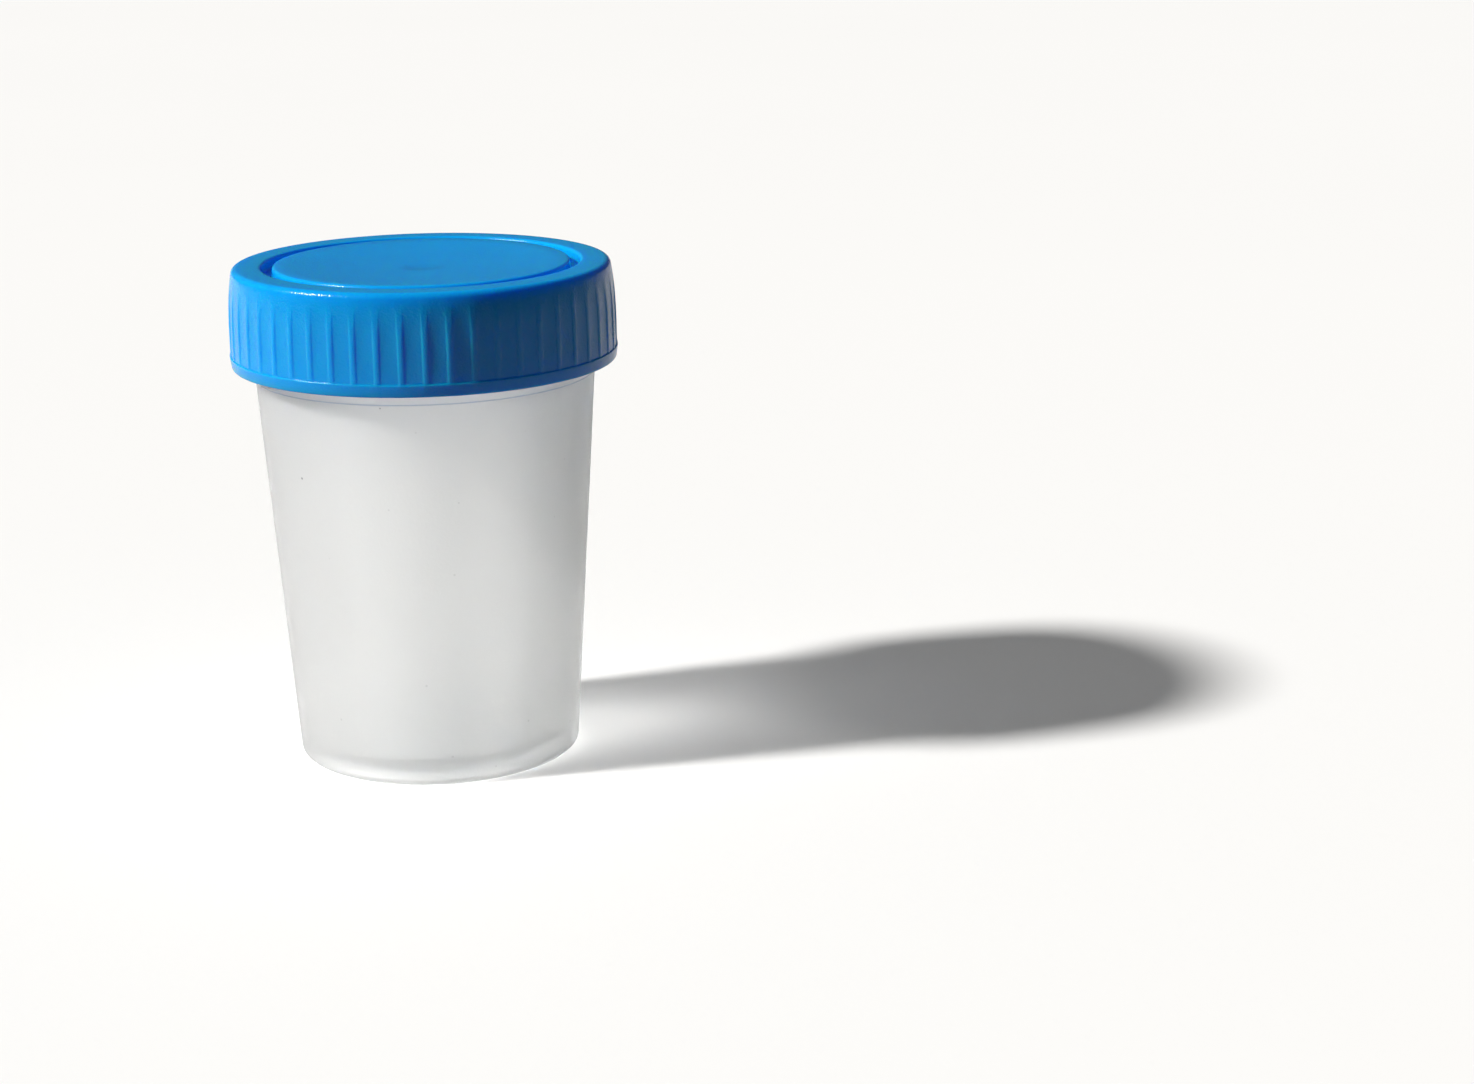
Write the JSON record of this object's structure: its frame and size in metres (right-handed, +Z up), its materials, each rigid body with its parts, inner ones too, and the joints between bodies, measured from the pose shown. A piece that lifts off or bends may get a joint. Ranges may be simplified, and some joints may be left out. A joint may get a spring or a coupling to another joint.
{
  "type": "specimen container",
  "caption": "Tapered translucent plastic specimen cup closed by a blue ribbed screw cap with a ring groove and a slightly dished centre disc.",
  "frame": {"origin": "centre of the foot ring, on the surface that the container stands on", "axes": "+Z up along the axis of the cup and cap"},
  "size_m": [0.06, 0.06, 0.078],
  "materials": {
    "cup_plastic": "natural polypropylene, milky and translucent, satin",
    "cap_plastic": "blue polypropylene, semi-gloss with a fine moulded texture"
  },
  "bodies": {
    "cup": {"cup": "cup_plastic"},
    "cap": {"cap": "cap_plastic"}
  },
  "joints": [
    {"name": "cap_lift", "type": "slide", "parent": "cup", "child": "cap", "axis": [0, 0, 1], "range_m": [0, 0.04]}
  ]
}
